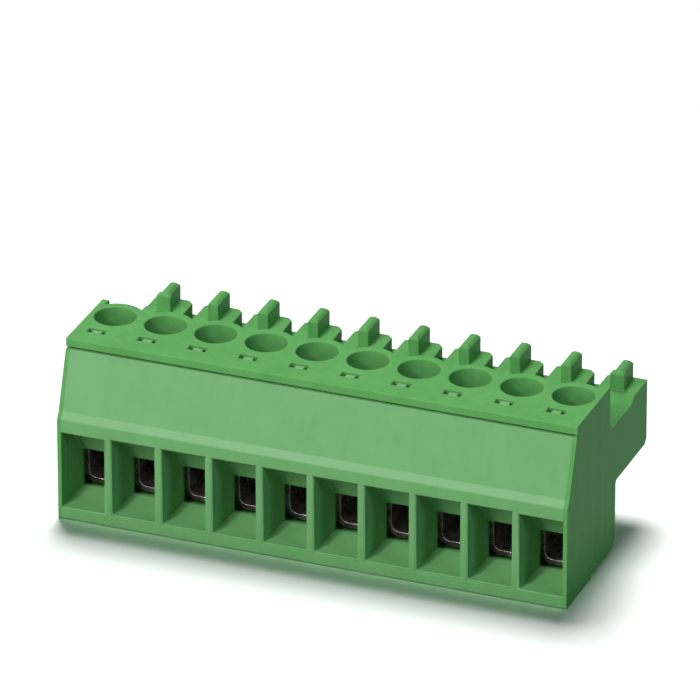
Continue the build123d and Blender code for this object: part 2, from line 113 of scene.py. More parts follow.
class Graph:
    """A node tree with short calls to add and join nodes."""

    def __init__(self, tree: bpy.types.NodeTree) -> None:
        """Wraps a node tree.

        Args:
            tree: Node tree of a material, a world or a group.
        """
        self.tree = tree

    def add(self, kind: str, settings: dict[str, object] | None = None, **inputs: object) -> bpy.types.Node:
        """Adds a node.

        Args:
            kind: Node type, such as "ShaderNodeTexNoise".
            settings: Properties of the node.
            inputs: Values of inputs, with underscores for the spaces in their names.

        Returns:
            The new node.
        """
        node = self.tree.nodes.new(kind)
        for name, value in (settings or {}).items():
            setattr(node, name, value)
        for name, value in inputs.items():
            node.inputs[name.replace("_", " ")].default_value = value
        return node

    def join(self, start: bpy.types.NodeSocket, end: bpy.types.NodeSocket) -> None:
        """Links an output to an input."""
        self.tree.links.new(start, end)

    def math(self, operation: str, first: object, second: object = 0.0) -> bpy.types.NodeSocket:
        """Adds a maths node whose inputs are sockets or numbers.

        Args:
            operation: Name of the operation, such as "MULTIPLY".
            first: First socket or number.
            second: Second socket or number.

        Returns:
            The result's socket.
        """
        node = self.tree.nodes.new("ShaderNodeMath")
        node.operation = operation
        for socket, value in zip(node.inputs, (first, second)):
            if isinstance(value, bpy.types.NodeSocket):
                self.join(value, socket)
            else:
                socket.default_value = value
        return node.outputs[0]

    def mean(self, first: bpy.types.NodeSocket, second: bpy.types.NodeSocket) -> bpy.types.NodeSocket:
        """Adds the mean of two sockets."""
        return self.math("MULTIPLY", self.math("ADD", first, second), 0.5)

    def noise(
        self, place: bpy.types.NodeSocket, scale: bpy.types.NodeSocket, detail: float
    ) -> bpy.types.NodeSocket:
        """Adds a noise over a place.

        Args:
            place: Coordinates.
            scale: Socket with the noise's scale.
            detail: Number of finer layers.

        Returns:
            The noise's value, about 0.5 on average.
        """
        node = self.add("ShaderNodeTexNoise", Detail=detail, Roughness=NOISE_ROUGHNESS)
        self.join(place, node.inputs["Vector"])
        self.join(scale, node.inputs["Scale"])
        return node.outputs["Fac"]


def start_group(
    name: str, inputs: dict[str, float], outputs: tuple[str, ...]
) -> tuple[Graph, Sockets, Sockets]:
    """Starts a shader node group with named number sockets.

    Args:
        name: Name of the group.
        inputs: Names and standard values of the inputs.
        outputs: Names of the outputs.

    Returns:
        The group's graph, and its inner sockets by name: those of the inputs, then of the outputs.
    """
    tree = bpy.data.node_groups.new(name, "ShaderNodeTree")
    for socket_name, value in inputs.items():
        socket = tree.interface.new_socket(socket_name, in_out="INPUT", socket_type="NodeSocketFloat")
        socket.default_value = value
    for socket_name in outputs:
        tree.interface.new_socket(socket_name, in_out="OUTPUT", socket_type="NodeSocketFloat")
    graph = Graph(tree)
    entry = graph.add("NodeGroupInput")
    end = graph.add("NodeGroupOutput")
    return graph, {s.name: s for s in entry.outputs}, {s.name: s for s in end.inputs}


def build_moulded_skin() -> None:
    """Skin of moulded plastic: fine spark grain, cloudy tone and flow streaks along the height."""
    graph, inputs, outputs = start_group(
        Skin.MOULDED.value,
        {"Grain Scale": 9000.0, "Cloud Scale": 260.0, "Streak Scale": 1400.0},
        ("Tone", "Roughness", "Height"),
    )
    place = graph.add("ShaderNodeTexCoord").outputs["Object"]
    stretch = graph.add("ShaderNodeMapping", Scale=(1.0, 1.0, DRAWN_OUT))
    graph.join(place, stretch.inputs["Vector"])
    grain = graph.noise(place, inputs["Grain Scale"], 2.0)
    cloud = graph.noise(place, inputs["Cloud Scale"], 3.0)
    streak = graph.noise(stretch.outputs["Vector"], inputs["Streak Scale"], 2.0)
    clouds = graph.math("MULTIPLY", cloud, CLOUD_SHARE)
    streaks = graph.math("MULTIPLY", streak, STREAK_SHARE)
    grains = graph.math("MULTIPLY", grain, GRAIN_SHARE)
    graph.join(graph.math("ADD", graph.math("ADD", clouds, streaks), grains), outputs["Tone"])
    graph.join(graph.mean(cloud, grain), outputs["Roughness"])
    graph.join(grain, outputs["Height"])


def build_plated_skin() -> None:
    """Skin of plated metal: fine rolled lines along the depth and a cloudy bloom."""
    graph, inputs, outputs = start_group(
        Skin.PLATED.value,
        {"Line Scale": 9000.0, "Bloom Scale": 1100.0},
        ("Tone", "Roughness", "Height"),
    )
    place = graph.add("ShaderNodeTexCoord").outputs["Object"]
    stretch = graph.add("ShaderNodeMapping", Scale=(1.0, DRAWN_OUT, 1.0))
    graph.join(place, stretch.inputs["Vector"])
    lines = graph.noise(stretch.outputs["Vector"], inputs["Line Scale"], 2.0)
    bloom = graph.noise(place, inputs["Bloom Scale"], 4.0)
    graph.join(bloom, outputs["Tone"])
    graph.join(graph.mean(lines, bloom), outputs["Roughness"])
    graph.join(lines, outputs["Height"])


@dataclass(frozen=True)
class Finish:
    """A finish whose colour lies between two tones and whose skin has a fine relief.

    Attributes:
        name: Name of the material.
        skin: Node group with its fine surface.
        dark: Darker tone.
        light: Lighter tone.
        smoothest: Least roughness.
        roughest: Greatest roughness.
        relief: Depth of the relief in metres.
        metallic: Share of metal.
        specular: Level of the plain reflection, of which 0.5 is the usual one.
    """

    name: str
    skin: Skin
    dark: Colour
    light: Colour
    smoothest: float
    roughest: float
    relief: float
    metallic: float = 0.0
    specular: float = 0.5

    def material(self) -> bpy.types.Material:
        """Finds the material, or builds it the first time.

        Returns:
            The material.
        """
        found = bpy.data.materials.get(self.name)
        return found if found is not None else self.build()

    def build(self) -> bpy.types.Material:
        """Builds the material.

        Its colour and its roughness go from one bound to the other as the skin's noise goes
        from its usual low to its usual high.

        Returns:
            The material.
        """
        material = bpy.data.materials.new(self.name)
        material.use_nodes = True
        graph = Graph(material.node_tree)
        shader = material.node_tree.nodes["Principled BSDF"]
        shader.inputs["Metallic"].default_value = self.metallic
        shader.inputs["Specular IOR Level"].default_value = self.specular
        skin = graph.add("ShaderNodeGroup", {"node_tree": bpy.data.node_groups[self.skin.value]})
        usual = {"From_Min": USUAL_LOW, "From_Max": USUAL_HIGH}
        tone = graph.add("ShaderNodeMapRange", **usual)
        colours = graph.add("ShaderNodeValToRGB")
        colours.color_ramp.elements[0].color = (*self.dark, 1.0)
        colours.color_ramp.elements[1].color = (*self.light, 1.0)
        rough = graph.add("ShaderNodeMapRange", **usual, To_Min=self.smoothest, To_Max=self.roughest)
        bump = graph.add("ShaderNodeBump", Strength=1.0, Distance=self.relief)
        graph.join(skin.outputs["Tone"], tone.inputs["Value"])
        graph.join(tone.outputs["Result"], colours.inputs["Fac"])
        graph.join(colours.outputs["Color"], shader.inputs["Base Color"])
        graph.join(skin.outputs["Roughness"], rough.inputs["Value"])
        graph.join(rough.outputs["Result"], shader.inputs["Roughness"])
        graph.join(skin.outputs["Height"], bump.inputs["Height"])
        graph.join(bump.outputs["Normal"], shader.inputs["Normal"])
        return material


FINISHES = {
    # The housing's green is darker than the cover's, though both are one plastic: painted shade that dims
    # its top faces under the overhead softbox.
    Slot.HOUSING: Finish(
        "housing_green_with_painted_shade", Skin.MOULDED, (0.088, 0.288, 0.078), (0.116, 0.345, 0.102),
        0.36, 0.5, 5e-6, specular=0.02,
    ),
    Slot.COVER: Finish(
        "cover_moulded_green", Skin.MOULDED, (0.122, 0.315, 0.113), (0.14, 0.35, 0.129),
        0.34, 0.42, 3e-6, specular=0.18,
    ),
    Slot.SCREW: Finish(
        "screw_zinc_plated", Skin.PLATED, (0.4, 0.39, 0.36), (0.56, 0.55, 0.52),
        0.26, 0.42, 3e-6, metallic=1.0,
    ),
    Slot.CAGE: Finish(
        "cage_nickel_plated", Skin.PLATED, (0.34, 0.28, 0.28), (0.55, 0.48, 0.47),
        0.22, 0.4, 3e-6, metallic=0.9,
    ),
    Slot.CONTACT: Finish(
        "contact_tin_plated", Skin.PLATED, (0.55, 0.53, 0.5), (0.8, 0.78, 0.75),
        0.22, 0.42, 3e-6, metallic=1.0,
    ),
}


def screw_axis(node: str) -> tuple[float, float]:
    """Finds a screw's axis.

    Args:
        node: CAD node of the screw.

    Returns:
        The axis's place in plan.
    """
    low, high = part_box(node)
    return (low.x + high.x) / 2, (low.y + high.y) / 2


def pole_nodes(prefix: str) -> list[str]:
    """Names of the CAD nodes of one kind.

    Args:
        prefix: Name without the pole's number, such as "clamp_screw".

    Returns:
        The names in the order of the poles.
    """
    return [f"{prefix}_{pole:02d}" for pole in range(1, POLES + 1)]


def edge_angles(mesh: bpy.types.Mesh) -> np.ndarray:
    """Angle between the two faces at each edge of a closed mesh.

    The loops sorted by their edge stand in pairs, and the two faces that the loops of a pair
    belong to meet at that edge.

    Args:
        mesh: Closed mesh, in which two faces meet at every edge.

    Returns:
        One angle in radians for each edge.
    """
    loop_edges = np.empty(len(mesh.loops), np.int32)
    mesh.loops.foreach_get("edge_index", loop_edges)
    corners = np.empty(len(mesh.polygons), np.int32)
    mesh.polygons.foreach_get("loop_total", corners)
    normals = np.empty(3 * len(mesh.polygons), np.float32)
    mesh.polygons.foreach_get("normal", normals)
    faces = np.repeat(np.arange(len(corners)), corners)[np.argsort(loop_edges, kind="stable")]
    first, second = normals.reshape(-1, 3)[faces.reshape(-1, 2)].transpose(1, 0, 2)
    return np.arccos(np.clip((first * second).sum(axis=1), -1.0, 1.0))


def edge_vertices(mesh: bpy.types.Mesh) -> np.ndarray:
    """Vertices of every edge.

    Args:
        mesh: Any mesh.

    Returns:
        Indices of shape (edges, 2).
    """
    ends = np.empty(2 * len(mesh.edges), np.int32)
    mesh.edges.foreach_get("vertices", ends)
    return ends.reshape(-1, 2)


def edge_ends(mesh: bpy.types.Mesh) -> np.ndarray:
    """Places of the ends of every edge.

    Args:
        mesh: Any mesh.

    Returns:
        Array of shape (edges, 2, 3) in metres.
    """
    places = np.empty(3 * len(mesh.vertices), np.float32)
    mesh.vertices.foreach_get("co", places)
    return places.reshape(-1, 3)[edge_vertices(mesh)]


def smooth_all(mesh: bpy.types.Mesh) -> None:
    """Marks every face as smooth."""
    mesh.polygons.foreach_set("use_smooth", np.ones(len(mesh.polygons), bool))


def new_piece(name: str, mesh: bpy.types.Mesh, slot: Slot, body: str, node: str) -> bpy.types.Object:
    """Puts a mesh into the scene in place of a CAD node.

    Args:
        name: Name of the piece.
        mesh: Its mesh, in the row frame.
        slot: Slot that its finish comes from.
        body: Body that it rides on.
        node: CAD node that it stands for.

    Returns:
        The object.
    """
    piece = bpy.data.objects.new(name, mesh)
    bpy.context.scene.collection.objects.link(piece)
    mesh.materials.clear()
    mesh.materials.append(FINISHES[slot].material())
    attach(piece, body)
    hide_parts(node)
    log.info("%s: %d faces, on %s", name, len(mesh.polygons), body)
    return piece


def add_rounding(piece: bpy.types.Object, width: float, segments: int, weighted: bool) -> None:
    """Rounds a piece's edges and evens out the shading of its flat faces.

    Args:
        piece: Object to round.
        width: Distance from an edge to the start of its round.
        segments: Faces across a round.
        weighted: Whether the edges' own weights choose and scale the rounds, and not their angle.
    """
    rounding = piece.modifiers.new("rounding", "BEVEL")
    rounding.width = width
    rounding.segments = segments
    rounding.limit_method = "WEIGHT" if weighted else "ANGLE"
    rounding.angle_limit = SMOOTH_LIMIT
    rounding.use_clamp_overlap = not weighted
    rounding.loop_slide = False
    shading = piece.modifiers.new("shading", "WEIGHTED_NORMAL")
    shading.mode = "FACE_AREA"
    shading.weight = FAVOUR_LARGE_FACES


@dataclass
class RoundedSolid:
    """A CAD node's own shape with its sharp edges rounded.

    Attributes:
        node: CAD node whose shape it takes and that it stands for.
        body: Body that it rides on.
        slot: Slot that its finish comes from.
        edge_round: Width of a usual round.
        widest_round: Width of the round at an edge of weight 1.
        segments: Faces across a round.
        sharp_angle: Edges with a greater angle are rounded.
        flat_angle: Triangles at a smaller angle are joined into one face.
        merge_distance: Vertices nearer than this are joined.
        share_of_neighbour: Part of the way to the nearest edge that a round may take.
        samples: Points on an edge from which that way is measured.
        inset: Share of the edge's length between its end and the first such point.
        parts: Batches in which the ways are worked out, to save memory.
        far_away: A way that is longer than any on the piece.
        line_cosine: Edges of one line continue one another at least as straight as this.
        edges_at_a_vertex: Most edges that are compared at a vertex.
        hand_overs: Times that the smaller width is handed on along a line.
    """

    node: str
    body: str
    slot: Slot
    edge_round: float = 0.08 * MM
    widest_round: float = 0.2 * MM
    segments: int = 3
    sharp_angle: float = math.radians(25)
    flat_angle: float = math.radians(0.3)
    merge_distance: float = 1e-6
    share_of_neighbour: float = 0.4
    samples: int = 3
    inset: float = 0.05
    parts: int = 24
    far_away: float = 1.0
    line_cosine: float = 0.8
    edges_at_a_vertex: int = 6
    hand_overs: int = 80

    def welded_mesh(self, nodes: Nodes) -> bpy.types.Mesh:
        """Copies the node's mesh, joins its loose triangles and joins triangles into flat faces.

        Args:
            nodes: CAD nodes by name.

        Returns:
            The closed mesh, smooth all over.
        """
        mesh = nodes[self.node].data.copy()
        mesh.name = self.node + "_rounded"
        shape = bmesh.new()
        shape.from_mesh(mesh)
        bmesh.ops.remove_doubles(shape, verts=shape.verts, dist=self.merge_distance)
        bmesh.ops.dissolve_limit(shape, angle_limit=self.flat_angle, verts=shape.verts, edges=shape.edges)
        bmesh.ops.recalc_face_normals(shape, faces=shape.faces)
        shape.to_mesh(mesh)
        shape.free()
        smooth_all(mesh)
        return mesh

    def room(self, mesh: bpy.types.Mesh, angles: np.ndarray) -> np.ndarray:
        """Works out the widest round that every edge has room for.

        Points along each sharp edge are measured to all sharp edges that share no end with it.
        The nearest foot on an edge from a to b lies at the share (p - a).(b - a) / |b - a|^2,
        kept between 0 and 1, and the round takes a part of the shortest distance.

        Args:
            mesh: The welded mesh.
            angles: Angles at the edges.

        Returns:
            One width for each edge, 0 for edges that aren't sharp.
        """
        sharp = np.flatnonzero(angles > self.sharp_angle)
        ids = edge_vertices(mesh)[sharp]
        start, end = edge_ends(mesh)[sharp].transpose(1, 0, 2)
        run = end - start
        span = (run**2).sum(axis=1)
        nearest = np.full(len(sharp), self.far_away)
        for share in np.linspace(self.inset, 1.0 - self.inset, self.samples):
            for part in np.array_split(np.arange(len(sharp)), self.parts):
                offset = (start[part] + share * run[part])[:, None] - start[None]
                foot = np.clip((offset * run[None]).sum(axis=2) / span[None], 0.0, 1.0)
                gap = np.linalg.norm(offset - foot[..., None] * run[None], axis=2)
                joined = (ids[part][:, None, :, None] == ids[None, :, None, :]).any(axis=(2, 3))
                nearest[part] = np.minimum(nearest[part], np.where(joined, self.far_away, gap).min(axis=1))
        room = np.zeros(len(mesh.edges))
        room[sharp] = self.share_of_neighbour * nearest
        return room

    def even_along_lines(self, mesh: bpy.types.Mesh, widths: np.ndarray) -> np.ndarray:
        """Gives edges that continue one another the narrowest width of their line.

        Half-edges sorted by their vertex are compared with the next few; two at one vertex
        whose directions are nearly opposite belong to one line, and the smaller width is
        handed on again and again along such pairs.

        Args:
            mesh: The welded mesh.
            widths: Width of each edge's round, 0 for none.

        Returns:
            The evened widths.
        """
        used = np.flatnonzero(widths > 0)
        places = edge_ends(mesh)[used]
        run = places[:, 1] - places[:, 0]
        run /= np.linalg.norm(run, axis=1, keepdims=True)
        vertex = edge_vertices(mesh)[used].T.ravel()
        order = np.argsort(vertex, kind="stable")
        vertex = vertex[order]
        edge = np.tile(used, 2)[order]
        away = np.concatenate([run, -run])[order]
        pairs = []
        for step in range(1, self.edges_at_a_vertex):
            same = vertex[:-step] == vertex[step:]
            opposite = (away[:-step] * away[step:]).sum(axis=1) < -self.line_cosine
            pairs.append(np.stack([edge[:-step], edge[step:]], axis=1)[same & opposite])
        first, second = np.concatenate(pairs).T
        evened = widths.copy()
        for _ in range(self.hand_overs):
            least = np.minimum(evened[first], evened[second])
            np.minimum.at(evened, first, least)
            np.minimum.at(evened, second, least)
        return evened

    def rounds(self, ends: np.ndarray, angles: np.ndarray) -> np.ndarray:
        """Chooses the round of every edge: the usual one where the edge is sharp.

        Args:
            ends: Ends of the edges, of shape (edges, 2, 3); not used here, only in the overrides.
            angles: Angles at the edges.

        Returns:
            The width of each edge's round, 0 for none.
        """
        return np.where(angles > self.sharp_angle, self.edge_round, 0.0)

    def build(self, nodes: Nodes) -> bpy.types.Object:
        """Makes the piece and rounds its edges.

        Args:
            nodes: CAD nodes by name.

        Returns:
            The piece.
        """
        mesh = self.welded_mesh(nodes)
        angles = edge_angles(mesh)
        rounds = np.minimum(self.rounds(edge_ends(mesh), angles), self.room(mesh, angles))
        rounds = self.even_along_lines(mesh, rounds)
        weights = mesh.attributes.new("bevel_weight_edge", "FLOAT", "EDGE")
        weights.data.foreach_set("value", (rounds / self.widest_round).astype(np.float32))
        piece = new_piece(mesh.name, mesh, self.slot, self.body, self.node)
        add_rounding(piece, self.widest_round, self.segments, weighted=True)
        return piece


@dataclass
class ClampCage(RoundedSolid):
    """Clamp cage that its screw lifts, with narrow rounds on its punched edges."""

    edge_round: float = 0.06 * MM


@dataclass
class Moulding(RoundedSolid):
    """Housing or front cover, with fine edges where the two lie side by side.

    Attributes:
        fine_round: Width of the rounds there.
        joint_x: Distance of these edges from the middle of the row.
    """

    fine_round: float = 0.02 * MM
    joint_x: float = field(init=False)

    def __post_init__(self) -> None:
        """Reads where the cover ends."""
        low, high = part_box("front_cover")
        self.joint_x = (high.x - low.x) / 2

    def rounds(self, ends: np.ndarray, angles: np.ndarray) -> np.ndarray:
        """Chooses the rounds: fine ones along the joints between housing and cover.

        Args:
            ends: Ends of the edges, of shape (edges, 2, 3).
            angles: Angles at the edges.

        Returns:
            The width of each edge's round.
        """
        rounds = super().rounds(ends, angles)
        beside = (np.abs(np.abs(ends[:, :, 0]) - self.joint_x) < TOUCH).all(axis=1)
        return np.where(beside, np.minimum(rounds, self.fine_round), rounds)


@dataclass
class Cover(Moulding):
    """Front cover with wider rounds at the mouths of the wire funnels.

    Attributes:
        mouth_round: Width of the rounds at the mouths.
        mouth_bottom: Height above which the mouths begin.
        mouth_top: Height below which they end.
    """

    mouth_round: float = 0.17 * MM
    mouth_bottom: float = 0.5 * MM
    mouth_top: float = 7.0 * MM

    def rounds(self, ends: np.ndarray, angles: np.ndarray) -> np.ndarray:
        """Chooses the rounds: wide ones on the inner edges of the wire face.

        Args:
            ends: Ends of the edges, of shape (edges, 2, 3).
            angles: Angles at the edges.

        Returns:
            The width of each edge's round.
        """
        rounds = super().rounds(ends, angles)
        front = ends[:, :, 1] < ends[:, :, 1].min() + TOUCH
        inner = (ends[:, :, 2] > self.mouth_bottom) & (ends[:, :, 2] < self.mouth_top)
        inner &= np.abs(ends[:, :, 0]) < self.joint_x - TOUCH
        return np.where((front & inner).all(axis=1) & (rounds > 0), self.mouth_round, rounds)


@dataclass
class Housing(Moulding):
    """Housing with wider rounds at the rims of the screwdriver holes and at the lip's edge.

    Attributes:
        rim_round: Width of the rounds at the rims.
        hole_radius: Radius of the screwdriver holes.
        lip_round: Width of the round at the lip's edge.
        lip_back: Depth in front of which the lip's edge lies.
    """

    rim_round: float = 0.2 * MM
    hole_radius: float = 1.5 * MM
    lip_round: float = 0.18 * MM
    lip_back: float = -6.0 * MM

    def rounds(self, ends: np.ndarray, angles: np.ndarray) -> np.ndarray:
        """Chooses the rounds: wide ones at the lip and on the circles round the screws' axes.

        Args:
            ends: Ends of the edges, of shape (edges, 2, 3).
            angles: Angles at the edges.

        Returns:
            The width of each edge's round.
        """
        rounds = super().rounds(ends, angles)
        top = ends[:, :, 2].max()
        axes = np.array([screw_axis(name) for name in pole_nodes("clamp_screw")])
        away = np.linalg.norm(ends[:, :, None, :2] - axes[None, None], axis=3).min(axis=2)
        lip = (ends[:, :, 2] > top - TOUCH) & (ends[:, :, 1] < self.lip_back)
        rounds = np.where(lip.all(axis=1) & (rounds > 0), self.lip_round, rounds)
        rim = (np.abs(away - self.hole_radius) < 2 * TOUCH) & (ends[:, :, 2] > top - TOUCH)
        return np.where(rim.all(axis=1) & (rounds > 0), self.rim_round, rounds)


def tube_mesh(
    name: str, rings: np.ndarray, first_faces: list[list[int]], last_faces: list[list[int]]
) -> bpy.types.Mesh:
    """Joins rings of points into a closed skin, four corners to a face.

    Args:
        name: Name of the mesh.
        rings: Points of shape (rings, points in a ring, 3).
        first_faces: Faces that close the first ring, as indices into it.
        last_faces: Faces that close the last ring, as indices into it.

    Returns:
        The mesh, with its faces outwards.
    """
    rows, columns = rings.shape[:2]
    index = np.arange(rows * columns).reshape(rows, columns)
    near, far = index[:-1], index[1:]
    skin = np.stack([near, np.roll(near, -1, 1), np.roll(far, -1, 1), far], axis=-1).reshape(-1, 4)
    last = (rows - 1) * columns
    faces = skin.tolist() + first_faces + [[last + corner for corner in face] for face in last_faces]
    mesh = bpy.data.meshes.new(name)
    mesh.from_pydata(rings.reshape(-1, 3).tolist(), [], faces)
    shape = bmesh.new()
    shape.from_mesh(mesh)
    bmesh.ops.recalc_face_normals(shape, faces=shape.faces)
    shape.to_mesh(mesh)
    shape.free()
    smooth_all(mesh)
    return mesh


@dataclass
class ClampScrew:
    """Slotted clamp screw with a fine thread on its shank.

    Attributes:
        node: CAD node that it stands for.
        pole: Number of its pole.
        head_height: Height of the head, whose radius is that of the CAD node.
        head_chamfer: Chamfer at both edges of the head.
        slot_width: Width at the slot's foot.
        slot_depth: Depth of the slot.
        slot_flare: How far each wall of the slot leans out.
        slot_turn: Angle from one pole's slot to the next one's.
        shank_radius: Radius at the crest of the thread.
        root_radius: Radius at the root of the thread.
        lead: Height of one turn of the thread.
        tip_radius: Radius at the tip.
        flank_slope: Steepness of the thread's flanks.
        root_flat: Part of the swing that is cut off at the root.
        columns: Sections across the head.
        rows_a_turn: Rings in one turn of the thread.
    """

    node: str
    pole: int
    head_height: float = 1.5 * MM
    head_chamfer: float = 0.12 * MM
    slot_width: float = 0.5 * MM
    slot_depth: float = 0.8 * MM
    slot_flare: float = 0.05 * MM
    slot_turn: float = math.radians(53)
    shank_radius: float = 1.0 * MM
    root_radius: float = 0.77 * MM
    lead: float = 0.4 * MM
    tip_radius: float = 0.65 * MM
    flank_slope: float = 1.7
    root_flat: float = 0.35
    columns: int = 22
    rows_a_turn: int = 7

    def outline(self, radius: float) -> tuple[np.ndarray, np.ndarray]:
        """Points round the head, whose sections across the slot are equal angles apart.

        A section lies at minus the radius times the cosine of its angle, and reaches to plus
        and minus the radius times the sine. Two sections stand at each wall of the slot, one
        at its top edge and one at its foot.

        Args:
            radius: Radius of the outline.

        Returns:
            Places across and along the slot, of shape (points, 2), and a mask of those in the slot.
        """
        angles = (np.arange(self.columns) + 0.5) * math.pi / self.columns
        across = -radius * np.cos(angles)
        foot, edge = self.slot_width / 2, self.slot_width / 2 + self.slot_flare
        across = across[np.abs(np.abs(across) - (foot + edge) / 2) > self.slot_flare]
        across = np.sort(np.concatenate([across, [-edge, -foot, foot, edge]]))
        along = np.sqrt(radius**2 - across**2)
        points = np.concatenate([np.stack([across, along], 1), np.stack([across, -along], 1)[::-1]])
        return points, np.abs(points[:, 0]) < (foot + edge) / 2

    def thread(self, angles: np.ndarray, heights: np.ndarray, tip: float, neck: float) -> np.ndarray:
        """Radius of the threaded shank over angle and height.

        The radius swings between root and crest as height over lead, less the angle's share
        of a turn, runs through whole numbers. It is cut off flat at root and crest, fades to
        the root under the head and narrows to the tip as a 45 degree cone.

        Args:
            angles: Angles of the columns, of shape (1, columns).
            heights: Heights of the rows, of shape (rows, 1).
            tip: Height of the tip.
            neck: Height of the head's underside.

        Returns:
            Radii of shape (rows, columns).
        """
        phase = np.mod(heights / self.lead - angles / (2 * math.pi), 1.0)
        wave = np.clip(self.flank_slope * np.abs(2 * phase - 1) - self.root_flat, 0.0, 1.0)
        fade = np.clip((neck - heights) / self.lead, 0.0, 1.0)
        radius = self.root_radius + (self.shank_radius - self.root_radius) * wave * fade
        return np.minimum(radius, self.tip_radius + heights - tip)

    def rings(self) -> np.ndarray:
        """Works out the screw's rings from the head's top edge down to the tip.

        Returns:
            Points of shape (rings, points in a ring, 3).
        """
        low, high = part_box(self.node)
        head_radius = (high.x - low.x) / 2
        neck = high.z - self.head_height
        points, in_slot = self.outline(head_radius - self.head_chamfer)
        turn = self.pole * self.slot_turn
        along = np.array([math.cos(turn), math.sin(turn)])
        across = np.array([-math.sin(turn), math.cos(turn)])
        flat = points[:, :1] * across + points[:, 1:] * along
        flat = flat / np.linalg.norm(flat, axis=1, keepdims=True)
        bottom = high.z - self.slot_depth
        head = [
            (head_radius - self.head_chamfer, np.where(in_slot, bottom, high.z)),
            (head_radius, np.where(in_slot, bottom, high.z - self.head_chamfer)),
            (head_radius, np.full(len(flat), neck + self.head_chamfer)),
            (head_radius - self.head_chamfer, np.full(len(flat), neck)),
        ]
        radii = np.array([[radius] * len(flat) for radius, _ in head])
        heights = np.array([height for _, height in head])
        rows = int((neck - low.z) / self.lead * self.rows_a_turn)
        shank_heights = np.linspace(neck, low.z, rows)[:, None]
        angles = np.arctan2(flat[:, 1], flat[:, 0])[None]
        shank_radii = self.thread(angles, shank_heights, low.z, neck)
        radii = np.concatenate([radii, shank_radii])
        heights = np.concatenate([heights, np.repeat(shank_heights, len(flat), axis=1)])
        middle = np.array(screw_axis(self.node))
        plan = middle + radii[..., None] * flat[None]
        return np.concatenate([plan, heights[..., None]], axis=2)

    def build(self) -> bpy.types.Object:
        """Makes the screw.

        Returns:
            The piece.
        """
        rings = self.rings()
        count = rings.shape[1]
        near = np.arange(count // 2 - 1)
        top = np.stack([near, near + 1, count - 2 - near, count - 1 - near], axis=1)
        mesh = tube_mesh(self.node + "_threaded", rings, top.tolist(), [list(range(count))])
        mesh.set_sharp_from_angle(angle=SMOOTH_LIMIT)
        return new_piece(mesh.name, mesh, Slot.SCREW, f"screw_{self.pole:02d}", self.node)


def rounded_path(corners: np.ndarray, radius: float, steps: int = 6) -> np.ndarray:
    """Runs along corners and rounds each inner one.

    A round is drawn as a quadratic curve between the points that lie one radius before and
    after the corner.

    Args:
        corners: Corners of shape (corners, 2).
        radius: Length taken from each side of a corner.
        steps: Points in a round.

    Returns:
        Points of shape (points, 2).
    """
    before, at, after = corners[:-2], corners[1:-1], corners[2:]
    start = at + radius * (before - at) / np.linalg.norm(before - at, axis=1, keepdims=True)
    end = at + radius * (after - at) / np.linalg.norm(after - at, axis=1, keepdims=True)
    t = np.linspace(0.0, 1.0, steps)[None, :, None]
    bends = (1 - t) ** 2 * start[:, None] + 2 * t * (1 - t) * at[:, None] + t**2 * end[:, None]
    return np.concatenate([corners[:1], bends.reshape(-1, 2), corners[-1:]])


def strip_rings(path: np.ndarray, thickness: float, low: float, high: float) -> np.ndarray:
    """Carries the section of a flat strip along a path.

    Half the thickness is set off to both sides of the path, at right angles to it, and the
    strip's width lies along the third axis.

    Args:
        path: Points of shape (points, 2).
        thickness: Thickness of the strip.
        low: Lower end of the width on the third axis.
        high: Upper end of the width on the third axis.

    Returns:
        Rings of shape (points, 4, 3): two axes of the path, then the third.
    """
    direction = np.gradient(path, axis=0)
    direction /= np.linalg.norm(direction, axis=1, keepdims=True)
    side = np.stack([-direction[:, 1], direction[:, 0]], axis=1) * thickness / 2
    corners = [(path + side, low), (path + side, high), (path - side, high), (path - side, low)]
    return np.stack([np.concatenate([p, np.full((len(p), 1), z)], axis=1) for p, z in corners], axis=1)


